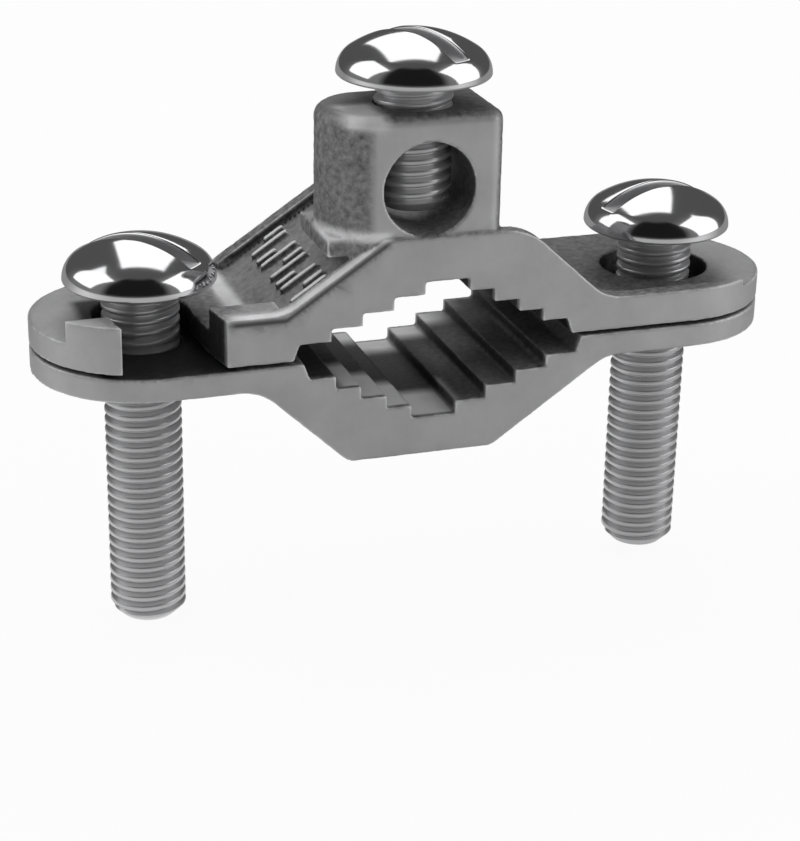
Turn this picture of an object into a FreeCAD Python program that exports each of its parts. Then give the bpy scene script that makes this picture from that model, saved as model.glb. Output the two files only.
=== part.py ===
import FreeCAD, Part
import math
import os

os.makedirs("parts", exist_ok=True)

# An earthing clamp for a pipe: two cast jaws with stepped V seats, drawn together by two slotted screws.
# The upper jaw carries a lug on top, where a third screw pinches the earthing wire.
# Millimetres. X runs along the clamp, Y along the pipe and the wire, Z up.
# The origin is on the parting plane, midway between the two clamp screws, at the middle of the pipe seat.

# Screws, quarter inch with a fine thread
screw_diameter = 6.35
screw_spacing = 45.2
screw_length = 29.65
screw_tip_chamfer = 0.9
head_diameter = 12.4
head_dome_height = 3.4
head_edge_radius = 2.2
head_rim_height = 0.2
head_rim_undercut = 0.2
head_slot_width = 1.4
head_slot_depth = 1.65
thread_fit = 0.05
left_head_lift = 5.05
right_head_lift = 5.9
left_slot_turn = 136.0
right_slot_turn = 13.0
lug_slot_turn = 116.0

# Both jaws
jaw_depth = 18.0
ear_radius = 9.0
parting_gap = 0.3
fuse_overlap = 0.5

# Stepped seat for the pipe: one long flank and one short one, the other way round in the other jaw
seat_depth = 5.75
step_count = 4
step_rise = 1.06
long_flank_start = 1.4
long_flank_run = 2.6
short_flank_start = 2.35
short_flank_run = 2.15
seat_corner_reach = 0.55

# Lower jaw
lower_ear_thickness = 2.1
lower_back_depth = 9.0
lower_back_left = 7.7
lower_back_right = 4.64
lower_left_slope = 43.1
lower_right_slope = 34.6
lower_back_radius = 1.2
lower_ear_radius = 4.0

# Upper jaw
ear_thickness = 2.3
lip_height = 4.1
rim_height = 2.95
roof_height = 9.45
rim_width = 1.5
panel_recess = 0.95
roof_left = 4.89
roof_shoulder = 7.26
left_slope = 33.8
right_slope = 42.5
shoulder_radius = 5.0
rim_foot_radius = 4.0
roof_corner_radius = 0.8
valley_start = 1.3
valley_slope = 31.3
lip_depth = 3.6
back_rim_start = 14.4

# Openings for the screws in the upper jaw
screw_slot_width = 7.9
pivot_hole_diameter = 9.2

# Wire lug
lug_offset = 1.1
lug_left_reach = 8.0
lug_right_reach = 6.25
lug_depth = 9.2
lug_rise = 9.85
lug_setback = 0.3
lug_corner_radius = 1.2
lug_top_fillet = 0.9
wire_hole_diameter = 7.6
wire_hole_lift = 0.05
lug_screw_length = 10.6
lug_screw_lift = 2.17

# Worked out from the sizes above
half_depth = jaw_depth / 2
half_gap = parting_gap / 2
half_spacing = screw_spacing / 2
screw_radius = screw_diameter / 2
threaded_radius = screw_radius + thread_fit
ear_reach = half_spacing + ear_radius
beyond = 2 * ear_reach
lug_front = -half_depth + lug_setback
lug_back = lug_front + lug_depth
lug_axis_y = lug_front + lug_depth / 2
lug_axis_x = -lug_offset
lug_top = roof_height + lug_rise
wire_hole_height = roof_height + wire_hole_lift + wire_hole_diameter / 2
lug_left = lug_axis_x - lug_left_reach
lug_right = lug_axis_x + lug_right_reach


# Outlines

def slope(degrees):
    return math.tan(math.radians(degrees))


def rounded_outline(corners):
    """A closed wire in the XZ plane through (x, z, radius) corners, with an arc at each that has a radius."""
    points = [FreeCAD.Vector(x, 0, z) for x, z, radius in corners]
    edges = []
    starts = []
    ends = []
    for index, (x, z, radius) in enumerate(corners):
        here = points[index]
        back = (points[index - 1] - here).normalize()
        ahead = (points[(index + 1) % len(points)] - here).normalize()
        if radius > 0:
            half_turn = back.getAngle(ahead) / 2
            reach = radius / math.tan(half_turn)
            middle = (back + ahead).normalize() * (radius / math.sin(half_turn) - radius)
            starts.append(here + back * reach)
            ends.append(here + ahead * reach)
            edges.append(Part.Arc(starts[-1], here + middle, ends[-1]).toShape())
        else:
            starts.append(here)
            ends.append(here)
            edges.append(None)
    loop = []
    for index, arc in enumerate(edges):
        if arc is not None:
            loop.append(arc)
        loop.append(Part.LineSegment(ends[index], starts[(index + 1) % len(corners)]).toShape())
    return Part.Wire(loop)


def slab(corners, y_from, y_to):
    """The outline as a solid from one depth to another along the pipe."""
    face = Part.Face(rounded_outline(corners))
    face.translate(FreeCAD.Vector(0, y_from, 0))
    return face.extrude(FreeCAD.Vector(0, y_to - y_from, 0))


def box(x_from, x_to, y_from, y_to, z_from, z_to):
    corner = FreeCAD.Vector(x_from, y_from, z_from)
    return Part.makeBox(x_to - x_from, y_to - y_from, z_to - z_from, corner)


def post(radius, x, y, z_from, z_to):
    return Part.makeCylinder(radius, z_to - z_from, FreeCAD.Vector(x, y, z_from))


def plan_of_jaw(z_from, z_to):
    """Everything inside the jaw's plan: straight sides and an ear rounded about each clamp screw."""
    middle = box(-half_spacing, half_spacing, -half_depth, half_depth, z_from, z_to)
    left_end = post(ear_radius, -half_spacing, 0, z_from, z_to)
    right_end = post(ear_radius, half_spacing, 0, z_from, z_to)
    ends = left_end.fuse(right_end)
    return middle.fuse(ends).removeSplitter()


# Stepped seat

def flank(start, run, side):
    """Corner points of one flank, from the flat bed of the seat out to the parting plane."""
    points = []
    for step in range(step_count + 1):
        level = seat_depth - step * step_rise
        inner = start + (step - 1) * run if step > 0 else 0
        outer = start + step * run
        if step > 0:
            points.append((side * inner, level))
        points.append((side * outer, level))
    points.append((side * (start + step_count * run + seat_corner_reach), 0))
    return points


def seat_cut(long_side):
    """The space that the stepped seat leaves open in the upper jaw, right through along the pipe."""
    long_flank = flank(long_flank_start, long_flank_run, long_side)
    short_flank = flank(short_flank_start, short_flank_run, -long_side)
    corners = [(x, z, 0) for x, z in reversed(short_flank)]
    corners = corners + [(x, z, 0) for x, z in long_flank]
    end_x = corners[-1][0]
    start_x = corners[0][0]
    corners = corners + [(end_x, -parting_gap, 0), (start_x, -parting_gap, 0)]
    return slab(corners, -half_depth - parting_gap, half_depth + parting_gap)


# Lower jaw

def make_lower_jaw():
    ear = -lower_ear_thickness
    back = -lower_back_depth
    drop = lower_back_depth - lower_ear_thickness
    left_foot = -lower_back_left - drop / slope(lower_left_slope)
    right_foot = lower_back_right + drop / slope(lower_right_slope)
    corners = [
        (-beyond, -half_gap, 0),
        (-beyond, ear, 0),
        (left_foot, ear, lower_ear_radius),
        (-lower_back_left, back, lower_back_radius),
        (lower_back_right, back, lower_back_radius),
        (right_foot, ear, lower_ear_radius),
        (beyond, ear, 0),
        (beyond, -half_gap, 0),
    ]
    jaw = slab(corners, -half_depth, half_depth)
    jaw = jaw.common(plan_of_jaw(2 * back, 0))
    seat = seat_cut(-1)
    seat.rotate(FreeCAD.Vector(0, 0, 0), FreeCAD.Vector(0, 1, 0), 180)
    jaw = jaw.cut(seat)
    for x in (-half_spacing, half_spacing):
        jaw = jaw.cut(post(threaded_radius, x, 0, 2 * back, parting_gap))
    return jaw


# Upper jaw

def rim_line():
    """Top line of the front rim, from the left ear over the roof to the right ear."""
    left_foot = -roof_left - (roof_height - lip_height) / slope(left_slope)
    right_foot = roof_shoulder + (roof_height - rim_height) / slope(right_slope)
    return [
        (-beyond, half_gap, 0),
        (-beyond, lip_height, 0),
        (left_foot, lip_height, rim_foot_radius),
        (-roof_left, roof_height, roof_corner_radius),
        (roof_shoulder, roof_height, shoulder_radius),
        (right_foot, rim_height, rim_foot_radius),
        (beyond, rim_height, 0),
        (beyond, half_gap, 0),
    ]


def core_line():
    """Top line of the body behind the rim: ear, name panel, roof, valley and ear."""
    panel_top = roof_height - panel_recess
    panel_foot = -roof_left - (panel_top - ear_thickness) / slope(left_slope)
    valley_foot = valley_start + (panel_top - ear_thickness) / slope(valley_slope)
    return [
        (-beyond, half_gap, 0),
        (-beyond, ear_thickness, 0),
        (panel_foot, ear_thickness, rim_foot_radius),
        (-roof_left, panel_top, 0),
        (valley_start, panel_top, 0),
        (valley_foot, ear_thickness, rim_foot_radius),
        (beyond, ear_thickness, 0),
        (beyond, half_gap, 0),
    ]


def back_rim_line():
    """The rim along the back stands only behind the panel and the roof."""
    foot_height = roof_height - (back_rim_start - roof_left) * slope(left_slope)
    return [
        (-back_rim_start, half_gap, 0),
        (-back_rim_start, foot_height, 0),
        (-roof_left, roof_height, roof_corner_radius),
        (valley_start, roof_height, roof_corner_radius),
        (valley_start + panel_recess, half_gap, 0),
    ]


def swing_slot():
    """The open slot in the left ear, curved about the right screw so that the left screw can swing out."""
    radius = screw_spacing
    half_width = screw_slot_width / 2
    blind_end = post(half_width, -half_spacing, 0, -parting_gap, roof_height)
    ring = post(radius + half_width, half_spacing, 0, -parting_gap, roof_height)
    ring = ring.cut(post(radius - half_width, half_spacing, 0, -parting_gap, roof_height))
    run = box(-beyond, 0, -jaw_depth, 0, -parting_gap, roof_height)
    return blind_end.fuse(ring.common(run))


def make_lug():
    """The wire lug: a block with a half-round left end, rounded over along its top."""
    end_radius = lug_depth / 2
    end_x = lug_left + end_radius
    corner = lug_corner_radius
    front = lug_front
    back = lug_back
    bow = corner * (1 - math.sqrt(0.5))
    points = {
        "front_left": FreeCAD.Vector(end_x, front, 0),
        "left": FreeCAD.Vector(lug_left, front + end_radius, 0),
        "back_left": FreeCAD.Vector(end_x, back, 0),
        "back_right": FreeCAD.Vector(lug_right - corner, back, 0),
        "back_bow": FreeCAD.Vector(lug_right - bow, back - bow, 0),
        "right_back": FreeCAD.Vector(lug_right, back - corner, 0),
        "right_front": FreeCAD.Vector(lug_right, front + corner, 0),
        "front_bow": FreeCAD.Vector(lug_right - bow, front + bow, 0),
        "front_right": FreeCAD.Vector(lug_right - corner, front, 0),
    }
    loop = [
        Part.Arc(points["front_left"], points["left"], points["back_left"]).toShape(),
        Part.LineSegment(points["back_left"], points["back_right"]).toShape(),
        Part.Arc(points["back_right"], points["back_bow"], points["right_back"]).toShape(),
        Part.LineSegment(points["right_back"], points["right_front"]).toShape(),
        Part.Arc(points["right_front"], points["front_bow"], points["front_right"]).toShape(),
        Part.LineSegment(points["front_right"], points["front_left"]).toShape(),
    ]
    face = Part.Face(Part.Wire(loop))
    base = roof_height - panel_recess - fuse_overlap
    face.translate(FreeCAD.Vector(0, 0, base))
    lug = face.extrude(FreeCAD.Vector(0, 0, lug_top - base))
    top_edges = [edge for edge in lug.Edges if edge.BoundBox.ZMin > lug_top - fuse_overlap]
    return lug.makeFillet(lug_top_fillet, top_edges)


def wire_hole():
    """The hole for the wire, right through the lug and just clear of the rims below it."""
    start = FreeCAD.Vector(lug_axis_x, -jaw_depth, wire_hole_height)
    return Part.makeCylinder(wire_hole_diameter / 2, 2 * jaw_depth, start, FreeCAD.Vector(0, 1, 0))


def make_upper_jaw():
    front = slab(rim_line(), -half_depth, -half_depth + rim_width)
    core = slab(core_line(), -half_depth + rim_width, half_depth)
    back = slab(back_rim_line(), half_depth - rim_width, half_depth)
    body = front.fuse([core, back]).common(plan_of_jaw(0, 2 * roof_height))
    floor = roof_height - panel_recess - fuse_overlap
    pedestal = box(lug_left, lug_right, -half_depth + rim_width, lug_back, floor, roof_height)
    under = box(valley_start, lug_right, -half_depth + rim_width, lug_back, seat_depth, roof_height)
    lip_reach = roof_left + (roof_height - lip_height) / slope(left_slope)
    lip = box(-ear_reach, -lip_reach, -half_depth, -half_depth + lip_depth, half_gap, lip_height)
    lip = lip.common(plan_of_jaw(0, 2 * roof_height))
    jaw = body.fuse([pedestal, under, lip, make_lug()])
    jaw = jaw.cut(seat_cut(-1))
    jaw = jaw.cut(swing_slot())
    jaw = jaw.cut(post(pivot_hole_diameter / 2, half_spacing, 0, -parting_gap, roof_height))
    jaw = jaw.cut(wire_hole())
    jaw = jaw.cut(post(threaded_radius, lug_axis_x, lug_axis_y, wire_hole_height, 2 * lug_top))
    return jaw.removeSplitter()


# Screws

def make_screw(x, y, underside, length, slot_turn):
    """A screw standing head up: a turned profile with a round head, a chamfered tip and a driver slot."""
    radius = head_diameter / 2
    rim = underside + head_rim_height
    crown = rim + head_dome_height
    tip = underside - length
    inset = radius - head_edge_radius
    height = head_dome_height
    dome_radius = (inset ** 2 - head_edge_radius ** 2 + height ** 2) / (2 * (height - head_edge_radius))
    turn = math.asin(inset / (dome_radius - head_edge_radius))

    def on_dome(angle):
        return FreeCAD.Vector(dome_radius * math.sin(angle), 0, crown - dome_radius * (1 - math.cos(angle)))

    half_way = (turn + math.pi / 2) / 2
    edge_bow_x = inset + head_edge_radius * math.sin(half_way)
    edge_bow_z = rim + head_edge_radius * math.cos(half_way)
    at = [
        FreeCAD.Vector(0, 0, crown),
        FreeCAD.Vector(0, 0, tip),
        FreeCAD.Vector(screw_radius - screw_tip_chamfer, 0, tip),
        FreeCAD.Vector(screw_radius, 0, tip + screw_tip_chamfer),
        FreeCAD.Vector(screw_radius, 0, underside),
        FreeCAD.Vector(radius - head_rim_undercut, 0, underside),
        FreeCAD.Vector(radius, 0, rim),
    ]
    edges = [Part.LineSegment(a, b).toShape() for a, b in zip(at, at[1:])]
    edges.append(Part.Arc(at[-1], FreeCAD.Vector(edge_bow_x, 0, edge_bow_z), on_dome(turn)).toShape())
    edges.append(Part.Arc(on_dome(turn), on_dome(turn / 2), at[0]).toShape())
    profile = Part.Face(Part.Wire(edges))
    screw = profile.revolve(FreeCAD.Vector(0, 0, 0), FreeCAD.Vector(0, 0, 1), 360)
    slot_floor = crown - head_slot_depth
    slot = box(-radius, radius, -head_slot_width / 2, head_slot_width / 2, slot_floor, 2 * crown)
    slot.rotate(FreeCAD.Vector(0, 0, 0), FreeCAD.Vector(0, 0, 1), slot_turn)
    screw = screw.cut(slot)
    screw.translate(FreeCAD.Vector(x, y, 0))
    return screw


# Nodes

lug_underside = lug_top + lug_screw_lift

nodes = {
    "upper_jaw": make_upper_jaw(),
    "lower_jaw": make_lower_jaw(),
    "left_clamp_screw": make_screw(-half_spacing, 0, left_head_lift, screw_length, left_slot_turn),
    "right_clamp_screw": make_screw(half_spacing, 0, right_head_lift, screw_length, right_slot_turn),
    "lug_screw": make_screw(lug_axis_x, lug_axis_y, lug_underside, lug_screw_length, lug_slot_turn),
}

for name, shape in nodes.items():
    shape.exportStep("parts/" + name + ".step")
    size = shape.BoundBox
    print(name, "solids", len(shape.Solids), "valid", shape.isValid(), "volume", round(shape.Volume, 1),
          "box", [round(v, 2) for v in (size.XMin, size.YMin, size.ZMin, size.XMax, size.YMax, size.ZMax)])
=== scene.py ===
# %% [markdown]
# # An earthing pipe clamp
#
# The real thing is a small clamp that ties an earthing wire to a water pipe. It has two cast jaws with
# stepped V seats, two long slotted screws that draw the jaws together, and a short slotted screw that
# pinches the wire in a lug on the upper jaw. The shapes and sizes come from the CAD model, which is
# loaded here as a fixed frame. This lesson dresses it: castings with a skin and soft edges, screws with
# real threads and polished heads, and a plain studio.

# %% Load the CAD model
import math

import bmesh
import bpy
import numpy as np
from mathutils import Matrix, Vector


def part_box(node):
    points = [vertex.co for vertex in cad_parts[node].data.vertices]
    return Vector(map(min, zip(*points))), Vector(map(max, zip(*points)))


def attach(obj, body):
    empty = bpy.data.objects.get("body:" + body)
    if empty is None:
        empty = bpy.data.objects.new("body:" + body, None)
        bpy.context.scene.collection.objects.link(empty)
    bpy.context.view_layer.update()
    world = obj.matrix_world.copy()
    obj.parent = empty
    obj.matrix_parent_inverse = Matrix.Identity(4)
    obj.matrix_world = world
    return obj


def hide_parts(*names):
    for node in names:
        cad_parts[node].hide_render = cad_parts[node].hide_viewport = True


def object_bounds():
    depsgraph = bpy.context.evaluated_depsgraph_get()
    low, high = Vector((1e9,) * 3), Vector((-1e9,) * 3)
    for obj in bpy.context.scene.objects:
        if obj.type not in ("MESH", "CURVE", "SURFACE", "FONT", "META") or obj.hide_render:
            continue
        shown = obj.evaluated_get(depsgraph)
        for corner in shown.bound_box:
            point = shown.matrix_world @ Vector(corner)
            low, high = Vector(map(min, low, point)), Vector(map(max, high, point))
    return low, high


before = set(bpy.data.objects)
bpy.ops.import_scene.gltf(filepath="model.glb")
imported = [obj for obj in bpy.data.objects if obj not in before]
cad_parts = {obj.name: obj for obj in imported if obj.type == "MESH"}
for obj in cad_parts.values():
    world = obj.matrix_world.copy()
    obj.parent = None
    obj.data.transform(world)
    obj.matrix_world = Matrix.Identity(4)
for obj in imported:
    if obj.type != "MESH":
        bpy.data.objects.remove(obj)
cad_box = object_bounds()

mm = 0.001
scene = bpy.context.scene


def in_mm(corners):
    """Corners in rounded millimetres, for printing."""
    return [[round(v / mm, 2) for v in corner] for corner in corners]


print("CAD box, mm:", in_mm(cad_box))

# %% [markdown]
# ## The camera
#
# The photograph was taken from quite near, so the clamp shows a clear perspective: the near end is larger
# than the far one. The camera's place was found by matching the two long screws and the outline of the
# jaws. A camera could be aimed with a constraint, but the small roll of the picture is easier to give as
# three plain directions: where the lens looks, which way is right, and which way is up.

# %% Place the camera
camera_azimuth = math.radians(18.8989)
camera_drop = math.radians(22.8037)
camera_roll = math.radians(1.1137)
camera_distance = 191.598 * mm
aim_point = Vector((-0.2922, 0.0, -9.8702)) * mm
picture_width = 800
focal_length_in_pixels = 2234.66

looking = Vector((
    math.sin(camera_azimuth) * math.cos(camera_drop),
    math.cos(camera_azimuth) * math.cos(camera_drop),
    -math.sin(camera_drop),
))
level_right = Vector((math.cos(camera_azimuth), -math.sin(camera_azimuth), 0))
level_up = level_right.cross(looking)
picture_right = level_right * math.cos(camera_roll) + level_up * math.sin(camera_roll)
picture_up = level_up * math.cos(camera_roll) - level_right * math.sin(camera_roll)

lens = bpy.data.cameras.new("photo_camera")
lens.sensor_fit = "HORIZONTAL"
lens.sensor_width = 36
lens.lens = lens.sensor_width * focal_length_in_pixels / picture_width
lens.clip_start = 5 * mm
lens.clip_end = 10
camera = bpy.data.objects.new("photo_camera", lens)
scene.collection.objects.link(camera)
turn = Matrix((picture_right, picture_up, -looking)).transposed().to_4x4()
camera.matrix_world = Matrix.Translation(aim_point - looking * camera_distance) @ turn
scene.camera = camera
scene.view_settings.view_transform = "Standard"
print("camera at, mm:", in_mm([camera.matrix_world.translation]), "lens:", round(lens.lens, 2))

# %% [markdown]
# ## The studio
#
# Catalogue photographs of small metal parts are taken on a white sweep. A white world could light
# everything alike, and polished metal would then look like plaster: it is the dark things around a shiny
# part that draw its shape. So the world and the floor are white, and a dim tent that only reflections see
# stands round the clamp. It is darkest in front, where a camera and its operator would be. Three wide
# soft lamps stand inside it.
#
# Materials are trees of nodes. A few helpers keep the trees short enough to read.

# %% Helpers for node trees
def give(tree, value, socket):
    """Feeds a socket from another socket, or sets it to a plain number or colour."""
    if isinstance(value, bpy.types.NodeSocket):
        tree.links.new(value, socket)
    else:
        socket.default_value = value


def add_node(tree, kind, inputs=None, **settings):
    """A new shader node of one kind, with its settings, and its inputs by name or number."""
    node = tree.nodes.new("ShaderNode" + kind)
    for setting, value in settings.items():
        setattr(node, setting, value)
    for place, value in (inputs or {}).items():
        give(tree, value, node.inputs[place])
    return node


def reckon(tree, operation, first, second):
    """One sum of two values."""
    return add_node(tree, "Math", {0: first, 1: second}, operation=operation).outputs[0]


def seen_directly(tree):
    """1 for camera, mirror and glass rays, which should see a white room, and 0 for the light it gives."""
    ray = add_node(tree, "LightPath").outputs
    seen = reckon(tree, "MAXIMUM", ray["Is Camera Ray"], ray["Is Glossy Ray"])
    return reckon(tree, "MAXIMUM", seen, ray["Is Transmission Ray"])


def bare_material(name):
    """A material whose node tree is still empty."""
    material = bpy.data.materials.new(name)
    material.use_nodes = True
    material.node_tree.nodes.clear()
    return material


# %% The white world
plain_white = (1.0, 1.0, 1.0, 1)
seen_white = 1.0
fill_light = 0.55

world = bpy.data.worlds.new("white_room")
scene.world = world
world.use_nodes = True
tree = world.node_tree
tree.nodes.clear()
fill = add_node(tree, "Background", {"Color": plain_white, "Strength": fill_light})
white = add_node(tree, "Background", {"Color": plain_white, "Strength": seen_white})
chosen = add_node(tree, "MixShader", {0: seen_directly(tree), 1: fill.outputs[0], 2: white.outputs[0]})
add_node(tree, "OutputWorld", {"Surface": chosen.outputs[0]})
print("the world's light:", fill_light, "and its look:", seen_white)

# %% [markdown]
# The floor touches the tip of the left screw, which is the clamp's lowest point. Its own white makes the
# pale background. A little of it is left as plain diffuse paint, so the clamp still throws a faint shadow.

# %% The floor
paint_grey = (0.8, 0.8, 0.8, 1)
own_white_share = 0.93
floor_reach = 3.0
floor_height = cad_box[0].z


def studio_sheet(name, points, faces, material):
    """A mesh that belongs to the studio and not to the clamp."""
    mesh = bpy.data.meshes.new(name)
    mesh.from_pydata(points, [], faces)
    mesh.materials.append(material)
    sheet = bpy.data.objects.new(name, mesh)
    scene.collection.objects.link(sheet)
    return sheet


floor_paint = bare_material("floor_paint")
tree = floor_paint.node_tree
paint = add_node(tree, "BsdfDiffuse", {"Color": paint_grey})
glow = add_node(tree, "Emission", {"Strength": seen_white})
glow_share = reckon(tree, "MULTIPLY", seen_directly(tree), own_white_share)
blended = add_node(tree, "MixShader", {0: glow_share, 1: paint.outputs[0], 2: glow.outputs[0]})
add_node(tree, "OutputMaterial", {"Surface": blended.outputs[0]})

corners = [(x * floor_reach, y * floor_reach, floor_height) for x, y in ((-1, -1), (1, -1), (1, 1), (-1, 1))]
studio_sheet("floor", corners, [(0, 1, 2, 3)], floor_paint)
print("floor at, mm:", round(floor_height / mm, 2))

# %% [markdown]
# The three polished heads act as mirrors of the room, so the tent matters more than any lamp. It is a
# plain half sphere, and each of its points keeps one number for how light the room is there. A mat of the
# same cloth lies on the floor and does for it in the mirrors: it is greyer where the clamp and the
# operator would shade the floor.

# %% Tones of the room, by direction in degrees
tent_sides = (50, 80)
tent_overhead = (55, 75)
tent_front = (124, 138)
tent_front_foot = (-2, 8)
tent_front_top = (68, 84)
tent_tone = 0.08
tent_gain_at_sides = 0.09
tent_tone_in_front = 0.010

mat_front = (95, 150)
mat_right = (30, 90)
mat_sides = (60, 110)
mat_tone_at_sides = 0.68
mat_loss_in_front = 0.26
mat_shade_on_right = 0.35
mat_gain_near = 1.2
mat_share_behind = 0.4


def rising(value, low, high):
    """0 below the low value, 1 above the high one, and a smooth climb between."""
    share = min(max((value - low) / (high - low), 0), 1)
    return share * share * (3 - 2 * share)


def way_to(azimuth, elevation):
    """A direction in the room. Azimuth 0 is behind the clamp as the camera looks, and positive is right."""
    a = camera_azimuth + math.radians(azimuth)
    e = math.radians(elevation)
    return Vector((math.sin(a) * math.cos(e), math.cos(a) * math.cos(e), math.sin(e)))


def room_tone(azimuth, elevation):
    """How light the room is in one direction: dim, a little lighter at the sides, nearly black in front."""
    away = abs(azimuth)
    at_side = rising(away, *tent_sides) * (1 - rising(elevation, *tent_overhead))
    tone = tent_tone + tent_gain_at_sides * at_side
    in_front = rising(away, *tent_front) * rising(elevation, *tent_front_foot)
    in_front = in_front * (1 - rising(elevation, *tent_front_top))
    return tone + (tent_tone_in_front - tone) * in_front


def mat_tone(azimuth, near):
    """How light the floor looks in a mirror: pale, greyer in front and on the right, dim further behind."""
    away = abs(azimuth)
    tone = mat_tone_at_sides - mat_loss_in_front * rising(away, *mat_front)
    if near:
        return mat_gain_near * tone * (1 - mat_shade_on_right * rising(azimuth, *mat_right))
    return tone * (mat_share_behind + (1 - mat_share_behind) * rising(away, *mat_sides))


print("tent behind, at the side, in front:", [round(room_tone(a, 30), 2) for a in (0, 90, 180)])

# %% The dim tent and the mat
def store(mesh, name, values):
    """Writes one number per point into the mesh, for the material to read."""
    attribute = mesh.attributes.new(name, "FLOAT", "POINT")
    attribute.data.foreach_set("value", np.asarray(values, dtype=np.float32))


tent_cloth = bare_material("tent_cloth")
tree = tent_cloth.node_tree
tone = add_node(tree, "Attribute", attribute_name="tone")
cloth = add_node(tree, "Emission", {"Strength": tone.outputs["Fac"]})
add_node(tree, "OutputMaterial", {"Surface": cloth.outputs[0]})


def wrapped_net(name, rings, tones):
    """A net of rings round the clamp, seen in reflections only. Its points keep the room's tones."""
    columns = len(rings[0])
    faces = []
    for start in range(0, (len(rings) - 1) * columns, columns):
        for here in range(columns):
            beside = (here + 1) % columns
            faces.append((start + here, start + columns + here, start + columns + beside, start + beside))
    sheet = studio_sheet(name, [point for ring in rings for point in ring], faces, tent_cloth)
    store(sheet.data, "tone", tones)
    sheet.visible_camera = False
    sheet.visible_diffuse = False
    sheet.visible_shadow = False
    sheet.visible_transmission = False
    print(name, "faces:", len(faces))


tent_radius = 1.2
over_floor = 0.4 * mm
foot = Vector((0, 0, floor_height + over_floor))
azimuth_step, elevation_step = 6, 4
azimuths = list(range(-180, 180, azimuth_step))
elevations = list(range(0, 90, elevation_step)) + [90]
wrapped_net(
    "dim_tent",
    [[foot + way_to(a, e) * tent_radius for a in azimuths] for e in elevations],
    [room_tone(a, e) for e in elevations for a in azimuths],
)
near_rings = (2 * mm, 45 * mm)
far_rings = (75 * mm, 300 * mm, tent_radius)
wrapped_net(
    "shaded_mat",
    [[foot + way_to(a, 0) * radius for a in azimuths] for radius in near_rings + far_rings],
    [mat_tone(a, radius in near_rings) for radius in near_rings + far_rings for a in azimuths],
)

# %% [markdown]
# Three soft lamps make the light, one behind the clamp and one on either side. Each is given by how
# bright it looks rather than by its power, because that is what a mirror shows. The power follows from
# its area.

# %% The lamps
lamp_distance = 0.6


def soft_lamp(name, azimuth, elevation, width, height, brightness):
    """An oblong area lamp that looks at the clamp, sized as a share of its distance."""
    way = way_to(azimuth, elevation)
    lamp = bpy.data.lights.new(name, "AREA")
    lamp.shape = "RECTANGLE"
    lamp.size = width * lamp_distance
    lamp.size_y = height * lamp_distance
    lamp.energy = brightness * math.pi * lamp.size * lamp.size_y
    holder = bpy.data.objects.new(name, lamp)
    scene.collection.objects.link(holder)
    holder.location = way * lamp_distance
    holder.rotation_mode = "QUATERNION"
    holder.rotation_quaternion = way.to_track_quat("Z", "Y")
    print(name, "power:", round(lamp.energy, 2))


soft_lamp("back_lamp", azimuth=-3, elevation=51, width=0.60, height=0.92, brightness=1.15)
soft_lamp("left_lamp", azimuth=-90, elevation=37, width=0.80, height=0.92, brightness=1.05)
soft_lamp("right_lamp", azimuth=92, elevation=30, width=0.88, height=1.12, brightness=1.1)

# %% [markdown]
# ## The skin of the castings
#
# Zinc alloy comes out of the die grey and slightly grainy. The flat faces were rubbed in a tumbler with
# the other parts, so they are lighter and smoother than the recesses, and the edges are rubbed brightest
# of all. A picture of metal could be wrapped round the part, but it would stretch on the slopes. Here
# three numbers are stored at each point of the mesh, and the material reads them: how rubbed the face is,
# with painted light where the lower seat's steps are lit; how worn and bright, with painted highlights on
# some faces as well; and how dark, which is painted shade in corners, recesses and hollows. Worn metal is
# also scratched in every direction, so it is given a paler and less mirror-like look.

# %% Helpers for finishes
def noise(tree, scale, detail, roughness):
    """Cloudy values from 0 to 1 that stay with the object."""
    place = add_node(tree, "TexCoord").outputs["Object"]
    inputs = {"Vector": place, "Scale": scale, "Detail": detail, "Roughness": roughness}
    return add_node(tree, "TexNoise", inputs).outputs["Fac"]


def stored(tree, name):
    """The number that the mesh keeps under that name."""
    return add_node(tree, "Attribute", attribute_name=name).outputs["Fac"]


def blend(tree, share, first, second):
    """One colour at share 0 and the other at 1."""
    inputs = {"A": first, "B": second, "Factor": share}
    return add_node(tree, "Mix", inputs, data_type="RGBA").outputs["Result"]


def spread(tree, value, low, high, to_low=0.0, to_high=1.0):
    """Stretches one span of values to another."""
    inputs = {"Value": value, "From Min": low, "From Max": high, "To Min": to_low, "To Max": to_high}
    return add_node(tree, "MapRange", inputs).outputs["Result"]


def bumps(tree, height, distance, strength):
    """The shading of small bumps."""
    inputs = {"Height": height, "Distance": distance, "Strength": strength}
    return add_node(tree, "Bump", inputs).outputs["Normal"]


# %% The casting material
dull_dark = (0.14, 0.14, 0.142, 1)
dull_light = (0.44, 0.44, 0.447, 1)
clean_dark = (0.52, 0.52, 0.527, 1)
clean_light = (0.58, 0.58, 0.588, 1)
# Bright metal, for worn edges and for painted highlights.
worn_and_highlight_bright = (0.84, 0.84, 0.85, 1)
# Near black, for painted shade in corners, recesses and hollows.
painted_shade_dark = (0.018, 0.018, 0.0185, 1)
grain_span = (0.3, 0.7)
stain_span = (0.35, 0.65)
grain_roughness = (0.50, 0.66)
rubbed_polish = 0.14
unworn_metallic, worn_metallic = 0.70, 0.30
dull_bumps, rubbed_bumps = 0.9, 0.22
grain_depth = 0.05 * mm


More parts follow.
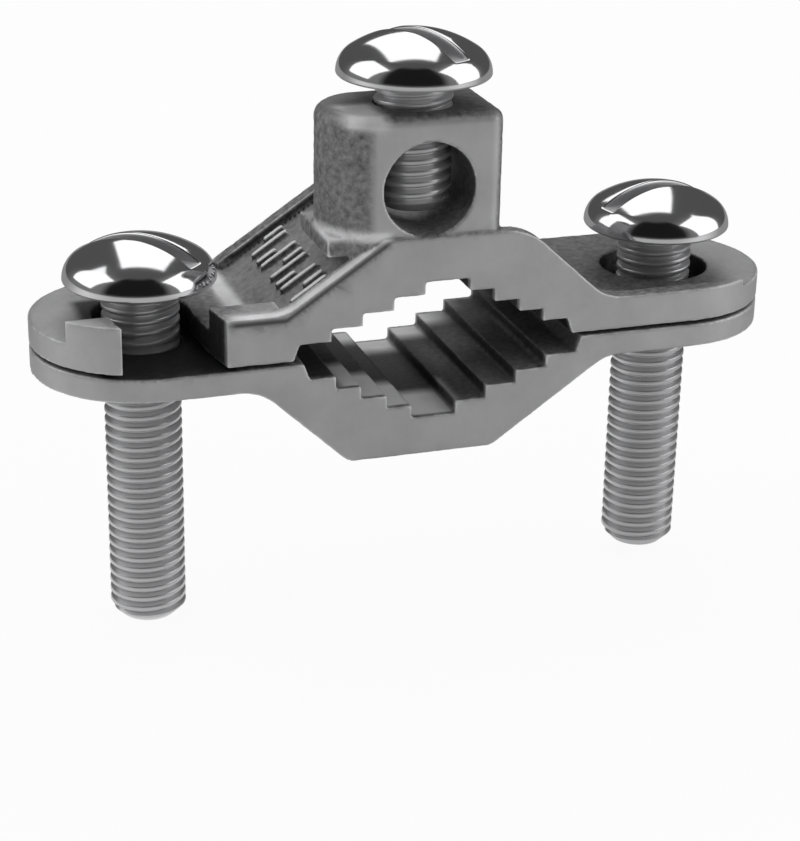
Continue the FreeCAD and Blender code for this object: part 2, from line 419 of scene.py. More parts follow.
def casting_material(name):
    """Grey cast zinc. Grain and stains come from noise; rubbed places, worn edges, painted light and painted
    shade come from the mesh.
    """
    material = bpy.data.materials.new(name)
    material.use_nodes = True
    tree = material.node_tree
    shader = tree.nodes["Principled BSDF"].inputs
    grain = noise(tree, scale=1900, detail=5, roughness=0.65)
    stains = noise(tree, scale=260, detail=3, roughness=0.5)
    # The edge number holds worn edges and painted highlights, the corner number holds painted shade, and the
    # rubbed number also holds painted light on the lower seat.
    rubbed_and_lit, edge = stored(tree, "rubbed_and_lit"), stored(tree, "edge")

    dull = blend(tree, spread(tree, grain, *grain_span), dull_dark, dull_light)
    clean = blend(tree, spread(tree, stains, *stain_span), clean_dark, clean_light)
    worn = blend(tree, edge, blend(tree, rubbed_and_lit, dull, clean), worn_and_highlight_bright)
    # The corner number darkens the colour with painted shade.
    give(tree, blend(tree, stored(tree, "corner"), worn, painted_shade_dark), shader["Base Color"])
    give(tree, spread(tree, edge, 0, 1, unworn_metallic, worn_metallic), shader["Metallic"])

    rough = spread(tree, grain, *grain_span, *grain_roughness)
    polish = spread(tree, rubbed_and_lit, 0, 1, 0.0, rubbed_polish)
    give(tree, reckon(tree, "SUBTRACT", rough, polish), shader["Roughness"])
    strength = spread(tree, rubbed_and_lit, 0, 1, dull_bumps, rubbed_bumps)
    give(tree, bumps(tree, grain, grain_depth, strength), shader["Normal"])
    return material


cast_zinc = casting_material("cast_zinc")
print("made", cast_zinc.name, "with nodes:", len(cast_zinc.node_tree.nodes))

# %% [markdown]
# ## The castings
#
# The CAD jaws have perfect edges, and a casting has none: its edges are round because metal doesn't fill
# a sharp die corner. Bevelling the CAD mesh is one way, but its long thin triangles make bevels fold.
# Instead the shape is rebuilt as a fine, even skin by a voxel remesh, and smoothed a little, which rounds
# every edge by the same small amount. Anything that is set into the mesh before that, such as a raised
# bar, flows into it as cast metal does.

# %% Helpers for shells
same_point = 1e-7


def shell_of(node):
    """A closed bmesh of one CAD node, with its doubled corners joined."""
    shell = bmesh.new()
    shell.from_mesh(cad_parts[node].data)
    bmesh.ops.remove_doubles(shell, verts=shell.verts, dist=same_point)
    return shell


def object_from(name, shell):
    """Turns a bmesh into an object in the scene."""
    mesh = bpy.data.meshes.new(name)
    shell.to_mesh(mesh)
    shell.free()
    piece = bpy.data.objects.new(name, mesh)
    scene.collection.objects.link(piece)
    return piece


def keep_modifiers(piece):
    """Replaces a piece's mesh by what its modifiers make of it."""
    settled = piece.evaluated_get(bpy.context.evaluated_depsgraph_get())
    mesh = bpy.data.meshes.new_from_object(settled)
    piece.modifiers.clear()
    piece.data = mesh


# %% Helpers that read a mesh
def points_of(mesh):
    """All the mesh's points as an array, one row each."""
    flat = np.empty(len(mesh.vertices) * 3)
    mesh.vertices.foreach_get("co", flat)
    return flat.reshape(-1, 3)


def normals_of(mesh):
    """All the mesh's point normals as an array, one row each."""
    flat = np.empty(len(mesh.vertices) * 3)
    mesh.vertex_normals.foreach_get("vector", flat)
    return flat.reshape(-1, 3)


def edges_of(mesh):
    """The two points of each of the mesh's edges, one row each."""
    flat = np.empty(len(mesh.edges) * 2, dtype=np.int64)
    mesh.edges.foreach_get("vertices", flat)
    return flat.reshape(-1, 2)


def triangles_in(mesh):
    """How many triangles the mesh's faces come to."""
    return sum(len(face.vertices) - 2 for face in mesh.polygons)


# %% Helpers for numbers on the skin
lump_cells = 64
least_square = 1e-14


def lumps(points, size, seed):
    """Smooth values from -1 to 1, one per point, in lumps about that size wide."""
    grid = np.random.default_rng(seed).uniform(-1, 1, (lump_cells, lump_cells, lump_cells))
    where = points / size
    low = np.floor(where).astype(int)
    share = where - low
    share = share * share * (3 - 2 * share)
    total = np.zeros(len(points))
    for corner in np.ndindex(2, 2, 2):
        weight = np.prod(np.where(corner, share, 1 - share), axis=1)
        i, j, k = ((low + corner) % lump_cells).T
        total += weight * grid[i, j, k]
    return total


def averaged(values, pairs, count, rounds):
    """Each point's value, evened out with its neighbours' a few times."""
    a, b = pairs.T
    neighbours = np.bincount(a, minlength=count) + np.bincount(b, minlength=count)
    for _ in range(rounds):
        total = np.bincount(a, values[b], count) + np.bincount(b, values[a], count)
        values = 0.5 * values + 0.5 * total / np.maximum(neighbours, 1)
    return values


def bend_of(points, normals, pairs):
    """How much the skin bends outward at each point, per metre: above 0 on edges and below 0 in corners."""
    a, b = pairs.T
    count = len(points)
    across = points[b] - points[a]
    length2 = np.maximum((across ** 2).sum(1), least_square)
    at_a = -(across * normals[a]).sum(1) / length2
    at_b = (across * normals[b]).sum(1) / length2
    shared = np.bincount(a, minlength=count) + np.bincount(b, minlength=count)
    return (np.bincount(a, at_a, count) + np.bincount(b, at_b, count)) / np.maximum(shared, 1)


# %% Soft steps
def above(values, low, soft):
    """0 below the low value and 1 above it, with a step that is that soft."""
    return np.clip((values - low) / soft + 0.5, 0, 1)


def below(values, high, soft):
    """1 below the high value and 0 above it, with a step that is that soft."""
    return np.clip((high - values) / soft + 0.5, 0, 1)


def within(values, low, high, soft):
    """1 inside a span and 0 outside it, with a soft step at both ends."""
    return above(values, low, soft) * below(values, high, soft)


# %% [markdown]
# Each mark on the skin is a product of soft steps: so far along the clamp, so far along the pipe, so
# high, and facing so. A painted mask could hold the marks too, but steps follow the sizes of the clamp
# and need no picture. All places of marks are in millimetres: x runs along the clamp to the pivot ear, y
# along the pipe to the back, and z up to the lug. A facing is the part of a face's direction that points
# up or forward, from 0 to 1.

# %% Places that both jaws share
screw_reach = 22.6
outer_faces = 8.5
ear_ends = 26.0
back_face = 9
seat_reach = 17.0
seat_height = 6.2
slot_span = (-27.6, -16.6)
slot_back = 4.2
pivot_shade_radius = 6.2
lug_axis = (-1.1, -4.1)
panel_corner = (-4.89, 8.5)
panel_slope = math.radians(33.8)
panel_outward = Vector((-math.sin(panel_slope), 0, math.cos(panel_slope)))
panel_top = Vector((panel_corner[0], 0, panel_corner[1])) * mm
seat_facing = 0.35
wall_facing = 0.5
rim_facing = 0.45
panel_facing = 0.6
front_facing = 0.8
side_power, top_power = 6, 4


def outer_share(x, y):
    """1 on the faces that end the casting all round, and 0 inside its outline."""
    from_middle_line = np.hypot(np.maximum(np.abs(x) - screw_reach, 0), y)
    return above(from_middle_line, outer_faces, soft=0.2)


def screw_shade(x, y):
    """Where the screws stand close enough to keep light away: the open slot, and round the pivot hole."""
    open_slot = within(x, *slot_span, soft=1.2) * below(y, slot_back, soft=1.0)
    pivot = below(np.hypot(x - screw_reach, y), pivot_shade_radius, soft=2.0)
    return np.maximum(open_slot, pivot)


# %% Places on the upper jaw
ear_height = 4.6
wire_hole_height = 13.3
wire_hole_radius = 4.0
wire_hole_depth = (-8.5, 0.6)
wire_hole_floor = 11.2
panel_span = (-16.0, -4.9)
rim_inside = 7.4
rim_outer_line = -8.1
rim_span = (-17.3, -5.4)
rim_heights = (3, 10.2)
rim_low_top = 4.1
rim_high_top = 9.45
# A painted shadow line runs just under the rim's top, over this span and this far down.
rim_shadow_span = (-17.5, -4.2)
rim_shadow_drop = (0.22, 0.66)
bar_heights = (0.24, 0.9)
valley_span = (6.0, 25.0)
valley_heights = (1, 7)
lug_top = 18.9
facet_foot = 18.3
facet_span = (-7.8, -4.6)
facet_back = -4.0
shank_span = (-27.6, -23)
shank_depth = (-2.4, 3.6)
# Painted highlights lie on the ledge and on the foot of the lug.
ledge_heights = (9.1, 10)
ledge_edge = -5.2
foot_heights = (9.3, 10.1)
foot_side = -4.3
foot_back = -3.0


def panel_share(x, y, nz):
    """1 on the recessed panel between the rims."""
    between_rims = within(y, -rim_inside, rim_inside, soft=0.3)
    return within(x, *panel_span, soft=1.0) * between_rims * above(nz, panel_facing, soft=0.2)


def facet_share(x, y, z):
    """1 on the small facet at the lug's front left corner, where a highlight is painted."""
    return above(z, facet_foot, soft=0.3) * within(x, *facet_span, soft=1.0) * below(y, facet_back, soft=1.2)


# %% Dark and bright marks of the upper jaw
# How dark the painted shade is: deep in the seat, the slot and under the rim, in the wire hole, on the lug's
# top and in the hollows.
deep_painted_shade = 0.9
wire_hole_painted_shade = 0.6
lug_top_painted_shade = 0.45
valley_painted_shade = 0.32
# How bright the marks are: wear and a painted highlight on the rim, a painted highlight on the lug's foot,
# and wear on the bars.
rim_wear_and_highlight = 1.3
rim_brightness_lost_inside = 0.9
foot_highlight = 1.2
bar_wear = 1.3


def upper_dark(place, facing, inner):
    """Painted shade on the upper jaw: its seat, the slot's walls, a line under the rim, beside the left
    shank, the wire hole, the lug's top and the hollows.
    """
    x, y, z = place
    ny, nz = facing[1:]
    up = np.clip(nz, 0, 1)
    seat = inner * below(z, seat_height, soft=0.3) * below(np.abs(x), seat_reach, soft=0.5)
    seat = seat * (nz < seat_facing)
    slot_walls = inner * (np.abs(nz) < wall_facing) * below(z, ear_height, soft=0.3) * screw_shade(x, y)
    rim_line = np.maximum(rim_low_top, rim_high_top + (x - panel_corner[0]) * math.tan(panel_slope))
    under_rim = within(rim_line - z, *rim_shadow_drop, soft=0.15) * above(-ny, front_facing, soft=0.2)
    under_rim = under_rim * within(x, *rim_shadow_span, soft=1.0)
    by_shank = within(x, *shank_span, soft=0.8) * within(y, *shank_depth, soft=0.8) * up
    wire_wall = below(np.hypot(x - lug_axis[0], z - wire_hole_height), wire_hole_radius, soft=0.3)
    wire_wall = wire_wall * within(y, *wire_hole_depth, soft=0.4) * (1 - below(z, wire_hole_floor, soft=1.2))
    top = above(z, lug_top, soft=0.3) * up * (1 - facet_share(x, y, z))
    valley = within(x, *valley_span, soft=5.0) * within(y, -rim_inside, back_face, soft=0.3) * up
    valley = valley * within(z, *valley_heights, soft=0.5)
    deep = np.max([seat, slot_walls, under_rim, by_shank], axis=0)
    marks = [deep_painted_shade * deep, wire_hole_painted_shade * wire_wall, lug_top_painted_shade * top, valley_painted_shade * valley]
    return np.max(marks, axis=0)


def upper_bright(place, facing):
    """Bright marks on the upper jaw: wear and a painted highlight on the front rim, painted highlights on
    the ledge and foot of the lug and on the facet, and worn bars.
    """
    x, y, z = place
    nz = facing[2]
    up = np.clip(nz, 0, 1)
    rim = below(y, -rim_inside, soft=0.2) * above(nz, rim_facing, soft=0.2)
    rim = rim * within(x, *rim_span, soft=1.0) * within(z, *rim_heights, soft=0.6)
    rim = rim * (rim_wear_and_highlight - rim_brightness_lost_inside * above(y, rim_outer_line, soft=0.3))
    ledge = within(z, *ledge_heights, soft=0.2) * below(x, ledge_edge, soft=0.8)
    ledge = ledge * below(y, ledge_edge, soft=0.8) * up
    foot = within(z, *foot_heights, soft=0.3) * below(x, foot_side, soft=0.8) * below(y, foot_back, soft=1.5)
    over_panel = (x - panel_corner[0]) * panel_outward.x + (z - panel_corner[1]) * panel_outward.z
    raised = panel_share(x, y, nz) * within(over_panel, *bar_heights, soft=0.2)
    return np.max([rim, ledge, foot_highlight * foot, bar_wear * raised, facet_share(x, y, z)], axis=0)


# %% Places and marks of the lower jaw
seat_top = -0.35
lit_front_span = (-8.4, 1.6)
lit_front_back = -3.6
lit_back_front = 6.0
lit_back_right = 6.0
lit_back_share = 0.9
pale_span = (2.5, 14.0)
pale_back = 3
parting_height = -0.4
# How strong the painted light is on the seat's lit steps and its right half, and the painted shade on the
# rest of the seat and on the parting face round the screws.
seat_painted_light = 1.3
pale_painted_light = 0.14
seat_painted_shade = 0.78
pale_shade_lost = 0.64
parting_painted_shade = 0.9


def lower_seat(place, facing, inner):
    """The lower seat, the front and back ends of its steps that light reaches, where light is painted, and
    its right half, painted paler as if lit.
    """
    x, y, z = place
    nz = facing[2]
    up = np.clip(nz, 0, 1)
    seat = inner * within(z, -seat_height, seat_top, soft=0.3) * below(np.abs(x), seat_reach, soft=0.5)
    seat = seat * (nz > -seat_facing)
    lit_front = within(x, *lit_front_span, soft=1.2) * below(y, lit_front_back, soft=1.6) * up
    lit_back = above(y, lit_back_front, soft=2.0) * below(x, lit_back_right, soft=4.0) * up
    pale = within(x, *pale_span, soft=3.0) * below(y, pale_back, soft=6.0) * up
    return seat, np.maximum(lit_front, lit_back_share * lit_back), pale


# %% All the marks of a jaw
ear_rub = 0.75
panel_rub = 0.4


def skin_marks(node, points, normals):
    """The rubbed, bright and dark shares of each point, told from its place and the way it faces."""
    place, facing = points.T / mm, normals.T
    x, y, z = place
    nx, ny, nz = facing
    up = np.clip(nz, 0, 1)
    outside = outer_share(x, y)
    inner = (1 - outside) * (1 - np.abs(ny) ** top_power)
    rubbed_and_lit = np.hypot(nx, ny) ** side_power * outside
    rubbed_and_lit = np.maximum(rubbed_and_lit, ear_rub * up ** top_power * above(np.abs(x), ear_ends, soft=5))
    if node == "upper_jaw":
        rubbed_and_lit = np.maximum(rubbed_and_lit, panel_rub * panel_share(x, y, nz))
        return rubbed_and_lit, upper_bright(place, facing), upper_dark(place, facing, inner)
    # On the lower jaw, the lit steps are painted light and clean, and the rest of the seat and the parting
    # face round the screws get painted shade.
    seat, lit, pale = lower_seat(place, facing, inner)
    rubbed_and_lit = np.maximum(rubbed_and_lit, seat * lit)
    bright = seat_painted_light * seat * np.maximum(lit, pale_painted_light * pale)
    parting = up ** top_power * above(z, parting_height, soft=0.2) * screw_shade(x, y)
    dark = np.maximum(seat * (1 - lit) * (seat_painted_shade - pale_shade_lost * pale), parting_painted_shade * parting)
    return rubbed_and_lit, bright, dark


# %% [markdown]
# A jaw is made in four steps: grow the fine skin, press a grain into it, drop the triangles that plain
# places don't need, and store the marks. A decimate takes the most from flat faces, and a flat face is
# where the thin marks are. So the marked points are put in a group that it leaves alone.

# %% Steps of a casting
voxel = 0.13 * mm
smoothing, smoothing_rounds = 0.5, 3
coarse_lumps = (0.55 * mm, 3)
fine_lumps = (0.28 * mm, 5)
patches = (1.1 * mm, 9)
coarse_share = 0.6
dull_grain = 0.035
grain_lost_when_rubbed = 0.030
edge_bend, edge_bend_span = 500, 900
corner_bend, corner_bend_span = 350, 1200
# Concave corners are given painted shade, at most this much.
most_corner_shade = 0.8
edge_wear_always = 0.35
# Bright marks, painted highlights among them, keep this share everywhere, and edge wear is lessened where
# shade is painted.
bright_mark_always = 0.6
wear_lost_in_shade = 0.75
marked_when_rubbed, marked_when_bright_or_dark = 0.3, 0.02


def grown_skin(node, extras):
    """The jaw's shape as one fine, even mesh with every edge a little round."""
    shell = shell_of(node)
    for extra in extras:
        shell.from_mesh(extra)
    piece = object_from(node + "_casting", shell)
    remesh = piece.modifiers.new("remesh", "REMESH")
    remesh.mode = "VOXEL"
    remesh.voxel_size = voxel
    soften = piece.modifiers.new("soften", "SMOOTH")
    soften.factor = smoothing
    soften.iterations = smoothing_rounds
    keep_modifiers(piece)
    return piece


def press_grain(piece, node):
    """Roughens the skin, less where it is rubbed, inside the CAD node's box. Gives the marked points."""
    points, normals = points_of(piece.data), normals_of(piece.data)
    low, high = (np.array(corner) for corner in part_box(node))
    rubbed_and_lit, bright, dark = skin_marks(node, points, normals)
    grain = coarse_share * lumps(points, *coarse_lumps) + (1 - coarse_share) * lumps(points, *fine_lumps)
    depth = (dull_grain - grain_lost_when_rubbed * rubbed_and_lit) * mm
    points = np.clip(points + normals * (grain * depth)[:, None], low, high)
    piece.data.vertices.foreach_set("co", points.ravel())
    piece.data.update()
    bright_or_dark = np.maximum(bright, dark) > marked_when_bright_or_dark
    return np.nonzero((rubbed_and_lit > marked_when_rubbed) & bright_or_dark)[0]


def thin_out(piece, marked, most_triangles):
    """Drops triangles where nothing is marked, until about that many are left."""
    piece.vertex_groups.new(name="kept_fine").add(marked.tolist(), 1.0, "REPLACE")
    thin = piece.modifiers.new("thin", "DECIMATE")
    thin.ratio = min(1.0, most_triangles / triangles_in(piece.data))
    thin.vertex_group = "kept_fine"
    thin.invert_vertex_group = True
    keep_modifiers(piece)


def store_marks(piece, node):
    """Stores how rubbed, worn and dark each point is, with painted light and painted shade. Edges wear in
    patches, and concave corners get painted shade.
    """
    mesh = piece.data
    points, normals, pairs = points_of(mesh), normals_of(mesh), edges_of(mesh)
    count = len(points)
    bend = averaged(bend_of(points, normals, pairs), pairs, count, rounds=3)
    rubbed_and_lit, bright, dark = (averaged(v, pairs, count, rounds=2) for v in skin_marks(node, points, normals))
    patchy = 0.5 + 0.5 * lumps(points, *patches)
    worn = np.clip((bend - edge_bend) / edge_bend_span, 0, 1)
    worn = worn * (edge_wear_always + (1 - edge_wear_always) * patchy) * (1 - wear_lost_in_shade * dark)
    bright = bright * (bright_mark_always + (1 - bright_mark_always) * patchy)
    corner_shade = np.clip((-bend - corner_bend) / corner_bend_span, 0, most_corner_shade)
    store(mesh, "rubbed_and_lit", rubbed_and_lit)
    # The edge number holds worn edges and painted highlights, and the corner number holds painted shade.
    store(mesh, "edge", np.maximum(worn, bright))
    store(mesh, "corner", np.maximum(corner_shade, dark))


def make_casting(node, extras, most_triangles):
    """The jaw as cast, in place of its CAD node."""
    piece = grown_skin(node, extras)
    marked = press_grain(piece, node)
    grown = triangles_in(piece.data)
    thin_out(piece, marked, most_triangles)
    store_marks(piece, node)
    piece.data.polygons.foreach_set("use_smooth", np.ones(len(piece.data.polygons), dtype=bool))
    piece.data.materials.clear()
    piece.data.materials.append(cast_zinc)
    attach(piece, node)
    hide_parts(node)
    print(node, "triangles:", grown, "kept:", triangles_in(piece.data))


# %% [markdown]
# The sloped panel on the left of the upper jaw carries rows of raised bars with round ends, cast in one
# with the jaw. They could be drawn in the material as bumps, but bumps throw no shadow and leave the
# outline flat. So each bar is a low, closed slab, sunk a little into the panel so that the remesh joins
# the two.

# %% The raised bars of the panel
bar_rows = (-5.9, -2.95, 0.0, 2.95, 5.9)
bar_offset = 0.6
bars_down = 6.4
short_bar_shift = 0.85
long_bar, short_bar = 3.9 * mm, 2.2 * mm
bar_width, bar_height = 0.74 * mm, 0.5 * mm
bar_sunk = 0.4
top_length_share, top_width_share = 0.94, 0.8
end_steps = 8


def bar_outline(length):
    """The outline of a bar with round ends, as places down the slope and across it."""
    radius = bar_width / 2
    outline = []
    for end, start in ((1, -90), (-1, 90)):
        for step in range(end_steps + 1):
            a = math.radians(start + 180 * step / end_steps)
            outline.append((end * (length / 2 - radius) + radius * math.cos(a), radius * math.sin(a)))
    return outline


def raised_bar(across, along, length):
    """One bar on the panel: across is its place along the pipe, along is how far down the slope it lies."""
    down = Vector((-math.cos(panel_slope), 0, -math.sin(panel_slope)))
    sideways = Vector((0, 1, 0))
    middle = panel_top + down * along + sideways * across
    shell = bmesh.new()
    foot = []
    top = []
    for u, v in bar_outline(length):
        foot.append(shell.verts.new(middle + down * u + sideways * v - panel_outward * bar_sunk * mm))
    for u, v in bar_outline(length):
        corner = middle + down * u * top_length_share + sideways * v * top_width_share
        top.append(shell.verts.new(corner + panel_outward * bar_height))
    shell.faces.new(foot)
    shell.faces.new(top[::-1])
    for i in range(len(foot)):
        j = (i + 1) % len(foot)
        shell.faces.new((foot[j], foot[i], top[i], top[j]))
    bmesh.ops.recalc_face_normals(shell, faces=shell.faces)
    mesh = bpy.data.meshes.new("raised_bar")
    shell.to_mesh(mesh)
    shell.free()
    return mesh


bars = []
for number, row in enumerate(bar_rows):
    shift = short_bar_shift if number % 2 else -short_bar_shift
    bars.append(raised_bar((row - bar_offset) * mm, bars_down * mm, long_bar))
    bars.append(raised_bar((row + bar_offset) * mm, (bars_down + shift) * mm, short_bar))
print("bars on the panel:", len(bars))

# %% Cast both jaws
make_casting("upper_jaw", bars, most_triangles=180000)
make_casting("lower_jaw", [], most_triangles=130000)

# %% [markdown]
# ## The plated screws
#
# The screws are turned steel with a bright plating. The plating is nearly a mirror on the polished heads.
# In the driver slots and round the rims, where a cutter went and no polishing wheel, it is duller. The
# threads are rolled and not polished either, and they have a finish of their own.

# %% The plated metals
rougher, smoother = 1.35, 0.75
scratch_depth = 0.01 * mm


def plated_material(name, colour, metallic, roughness, scratches):
    """Bright plating with fine scratches, which only change how sharp the reflections are."""
    material = bpy.data.materials.new(name)
    material.use_nodes = True
    tree = material.node_tree
    shader = tree.nodes["Principled BSDF"].inputs
    clouds = noise(tree, scale=900, detail=6, roughness=0.5)
    give(tree, colour, shader["Base Color"])
    give(tree, metallic, shader["Metallic"])
    give(tree, spread(tree, clouds, 0, 1, roughness * smoother, roughness * rougher), shader["Roughness"])
    give(tree, bumps(tree, clouds, scratch_depth, scratches), shader["Normal"])
    return material


finishes = (
    plated_material("polished_plating", (0.86, 0.86, 0.87, 1), metallic=1.0, roughness=0.10, scratches=0.06),
    plated_material("cut_plating", (0.54, 0.54, 0.548, 1), metallic=0.85, roughness=0.38, scratches=0.5),
    plated_material("thread_plating", (0.62, 0.62, 0.628, 1), metallic=0.80, roughness=0.30, scratches=0.3),
)
polished, cut, threaded = range(len(finishes))
print("finishes:", [finish.name for finish in finishes])

# %% [markdown]
# ### The slotted head
#
# The head is a shallow dome with a straight driver slot. Cutting the slot with a boolean is quick, but it
# leaves thin triangles whose shading shows in a mirror finish. The dome is therefore drawn as a net of
# lines that run along the slot. Where the slot is, the lines drop to its floor, and just outside they
# round over, as a cutter's burr is rubbed.

# %% Head sizes
head_radius = 6.2 * mm
rim_height = 0.2 * mm
rim_foot_radius = 6.0 * mm
dome_height = 3.4 * mm
edge_radius = 2.2 * mm
slot_half_width = 0.7 * mm
slot_depth = 1.65 * mm
slot_edge = 0.28 * mm
slot_floor = rim_height + dome_height - slot_depth
inset = head_radius - edge_radius
crown_radius = (inset ** 2 - edge_radius ** 2 + dome_height ** 2) / (2 * (dome_height - edge_radius))
crown_reach = crown_radius * inset / (crown_radius - edge_radius)
print("crown radius, mm:", round(crown_radius / mm, 2), "out to:", round(crown_reach / mm, 2))


def dome(u, v):
    """Height over the underside, at u across the slot and v along it: a crown arc, then an edge arc."""
    away = np.sqrt(np.minimum(u * u + v * v, head_radius ** 2))
    crown = dome_height - crown_radius + np.sqrt(crown_radius ** 2 - away ** 2)
    edge = np.sqrt(np.maximum(edge_radius ** 2 - np.maximum(away - inset, 0) ** 2, 0))
    return rim_height + np.where(away < crown_reach, crown, edge)


# %% The lines of the head's net
dome_lines = 44
edge_lines = 5
points_along = 97
wall_lean = 0.02 * mm
wall_climbs = (0.66, 0.33, 0.0)


def slot_lines():
    """Each line's place across the slot, its climb from the slot's floor, and how far it is rounded down."""
    lines = []
    outer = np.arcsin((slot_half_width + slot_edge) / head_radius)
    for angle in np.linspace(-math.pi / 2, -outer, dome_lines):
        lines.append((head_radius * math.sin(angle), 1.0, 0.0))
    for angle in np.linspace(0, math.pi / 2, edge_lines + 1)[1:]:
        rounding = slot_edge * (1 - math.cos(angle))
        lines.append((-slot_half_width - slot_edge + slot_edge * math.sin(angle), 1.0, rounding))
    for climb in wall_climbs:
        lines.append((-slot_half_width + wall_lean * (1 - climb), climb, slot_edge))
    lines.append((0.0, 0.0, 0.0))
    return lines + [(-u, climb, rounding) for u, climb, rounding in lines[-2::-1]]


print("lines in a head's net:", len(slot_lines()))


def net_height(u, v, climb, rounding):
    """Height of the net's points: the rounded dome, or that share of the way up the slot's wall."""
    top = dome(u, v)
    free = np.maximum(top - slot_floor, 0)
    lowered = top - np.minimum(rounding, free)
    on_wall = np.minimum(top, slot_floor) + climb * np.maximum(lowered - slot_floor, 0)
    return np.where(climb >= 1.0, lowered, on_wall)


# %% Build a head
rim_rings = (
    (head_radius - 0.03 * mm, rim_height * 0.6),
    (rim_foot_radius + 0.06 * mm, 0.02 * mm),
    (rim_foot_radius, 0.0),
)
slack = 0.04 * mm
net_join = 2e-7


def join_rows(shell, rows):
    """Faces between neighbouring rows of points."""
    for a, b in zip(rows, rows[1:]):
        for i in range(len(a) - 1):
            shell.faces.new((a[i], a[i + 1], b[i + 1], b[i]))


def add_underside(shell, edge, underside):
    """Closes the head below its edge with a short rim and a flat face."""
    rings = [edge]
    for radius, height in rim_rings:
        ring = []
        for corner in edge:
            way = Vector((corner.co.x, corner.co.y, 0)).normalized()
            ring.append(shell.verts.new((way.x * radius, way.y * radius, underside + height)))
        rings.append(ring)
    for a, b in zip(rings, rings[1:]):
        for i in range(len(a)):
            j = (i + 1) % len(a)
            shell.faces.new((a[j], a[i], b[i], b[j]))
    shell.faces.new(rings[-1][::-1])


def finish_of(face, underside):
    """Cut in the driver slot and on the rim, polished elsewhere."""
    middle = face.calc_center_median()
    height = middle.z - underside
    sunk = slot_floor - slack < height < dome(middle.y, middle.x) - slack
    in_slot = sunk and abs(middle.y) < slot_half_width + slack
    return cut if in_slot or height < rim_height else polished


def head_shell(slot_turn, underside):
    """A closed slotted head. The turn is the slot's direction, in degrees from +X."""
    shell = bmesh.new()
    sweep = np.linspace(-math.pi / 2, math.pi / 2, points_along)
    net = []
    for u, climb, rounding in slot_lines():
        v = math.sqrt(max(head_radius ** 2 - u * u, 0)) * np.sin(sweep)
        z = underside + net_height(np.full(points_along, u), v, climb, rounding)
        net.append([shell.verts.new((along, -u, height)) for along, height in zip(v, z)])
    join_rows(shell, net)
    edge = net[0][::-1] + [line[0] for line in net[1:-1]] + net[-1] + [line[-1] for line in net[-2:0:-1]]
    add_underside(shell, edge, underside)
    bmesh.ops.remove_doubles(shell, verts=shell.verts, dist=net_join)
    bmesh.ops.dissolve_degenerate(shell, edges=shell.edges, dist=same_point)
    bmesh.ops.recalc_face_normals(shell, faces=shell.faces)
    for face in shell.faces:
        face.material_index = finish_of(face, underside)
    turned = Matrix.Rotation(math.radians(slot_turn), 3, "Z")
    bmesh.ops.rotate(shell, verts=shell.verts, cent=(0, 0, 0), matrix=turned)
    return shell


# %% [markdown]
# ### The thread
#
# A thread is one groove wound round the shank. The Screw modifier could wind it, but its ends would stay
# open. Here the shank's skin is a net whose lines climb with the helix, so crests and roots stay crisp,
# and at both ends the lines are held back by a cone: the chamfer at the tip, and the run-out under the
# head.

# %% Thread sizes
thread_radius = 3.175 * mm
thread_root = 2.72 * mm
thread_pitch = 0.907 * mm
tip_radius = 2.25 * mm
runout = 0.5 * mm
fade_length = 1.5 * thread_pitch
into_head = 0.3 * mm
around = 48
crest = ((0.0, 1.0), (0.12, 1.0), (0.21, 0.90))
root = ((0.40, 0.08), (0.45, 0.0), (0.55, 0.0), (0.60, 0.08))
next_crest = ((0.79, 0.90), (0.88, 1.0))
thread_profile = crest + root + next_crest
thread_join = 1e-6
print("thread depth, mm:", round((thread_radius - thread_root) / mm, 3))


def radius_at(z, reach, tip, top):
    """The shank's radius at one height: its reach into the thread, faded under the head, cut at the tip."""
    radius = thread_root + (thread_radius - thread_root) * reach
    fade = min(max((top - runout - z) / fade_length, 0), 1)
    radius = thread_root + (radius - thread_root) * fade
    return min(radius, tip_radius + z - tip)


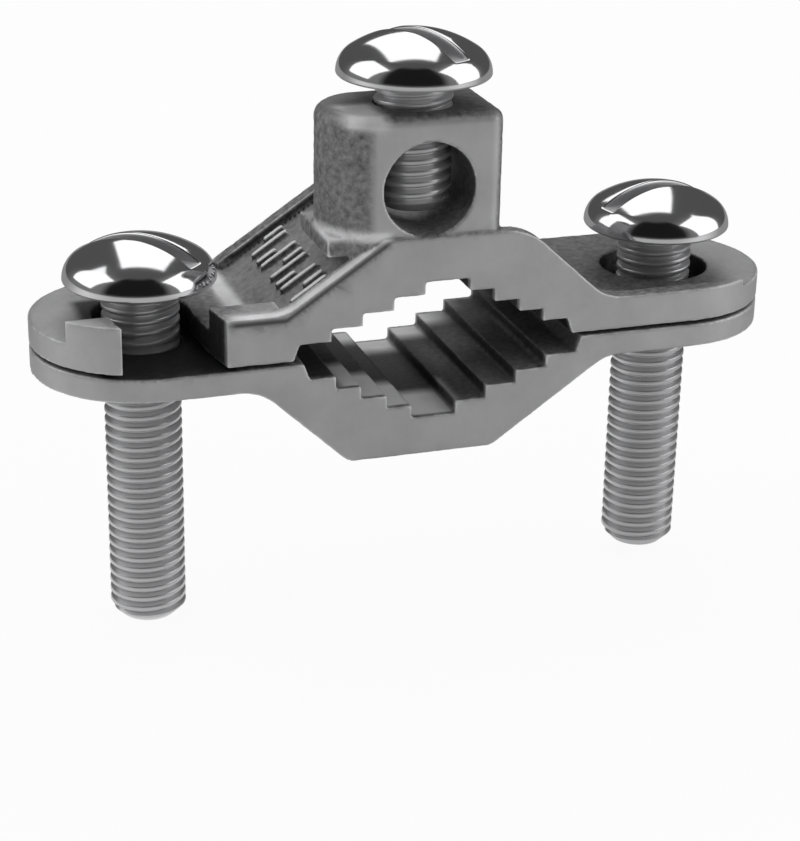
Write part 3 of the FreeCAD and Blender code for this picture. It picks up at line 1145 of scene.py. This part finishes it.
def thread_shell(tip, top):
    """A closed threaded shank from the tip to the top, where the thread fades out."""
    shell = bmesh.new()
    turns = int(math.ceil((top - tip) / thread_pitch)) + 2
    lines = [(k + share, reach) for k in range(-1, turns) for share, reach in thread_profile]
    net = []
    for step in range(around + 1):
        angle = 2 * math.pi * step / around
        column = []
        for place, reach in lines:
            z = tip + (place + step / around) * thread_pitch
            z = min(max(z, tip), top)
            radius = radius_at(z, reach, tip, top)
            column.append(shell.verts.new((radius * math.cos(angle), radius * math.sin(angle), z)))
        net.append(column)
    for a, b in zip(net, net[1:]):
        for i in range(len(lines) - 1):
            shell.faces.new((a[i], b[i], b[i + 1], a[i + 1]))
    bmesh.ops.remove_doubles(shell, verts=shell.verts, dist=thread_join)
    bmesh.ops.dissolve_degenerate(shell, edges=shell.edges, dist=same_point)
    rims = [edge for edge in shell.edges if edge.is_boundary]
    bmesh.ops.holes_fill(shell, edges=rims, sides=0)
    bmesh.ops.recalc_face_normals(shell, faces=shell.faces)
    for face in shell.faces:
        face.material_index = threaded
    return shell


# %% Put a screw together
crease = math.radians(32)


def make_screw(node, axis, underside, slot_turn):
    """One plated screw on its CAD node's axis, in mm: head and thread in one piece with three finishes."""
    low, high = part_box(node)
    head = head_shell(slot_turn, underside * mm)
    thread = thread_shell(low.z, underside * mm + into_head)
    spare = bpy.data.meshes.new("thread")
    thread.to_mesh(spare)
    thread.free()
    head.from_mesh(spare)
    bmesh.ops.translate(head, verts=head.verts, vec=(axis[0] * mm, axis[1] * mm, 0))
    piece = object_from(node + "_plated", head)
    for finish in finishes:
        piece.data.materials.append(finish)
    piece.data.polygons.foreach_set("use_smooth", np.ones(len(piece.data.polygons), dtype=bool))
    piece.data.set_sharp_from_angle(angle=crease)
    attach(piece, node)
    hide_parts(node)
    print(node, "underside, mm:", underside, "faces:", len(piece.data.polygons))


make_screw("left_clamp_screw", (-screw_reach, 0), underside=5.05, slot_turn=136)
make_screw("right_clamp_screw", (screw_reach, 0), underside=5.9, slot_turn=13)
make_screw("lug_screw", lug_axis, underside=21.47, slot_turn=116)
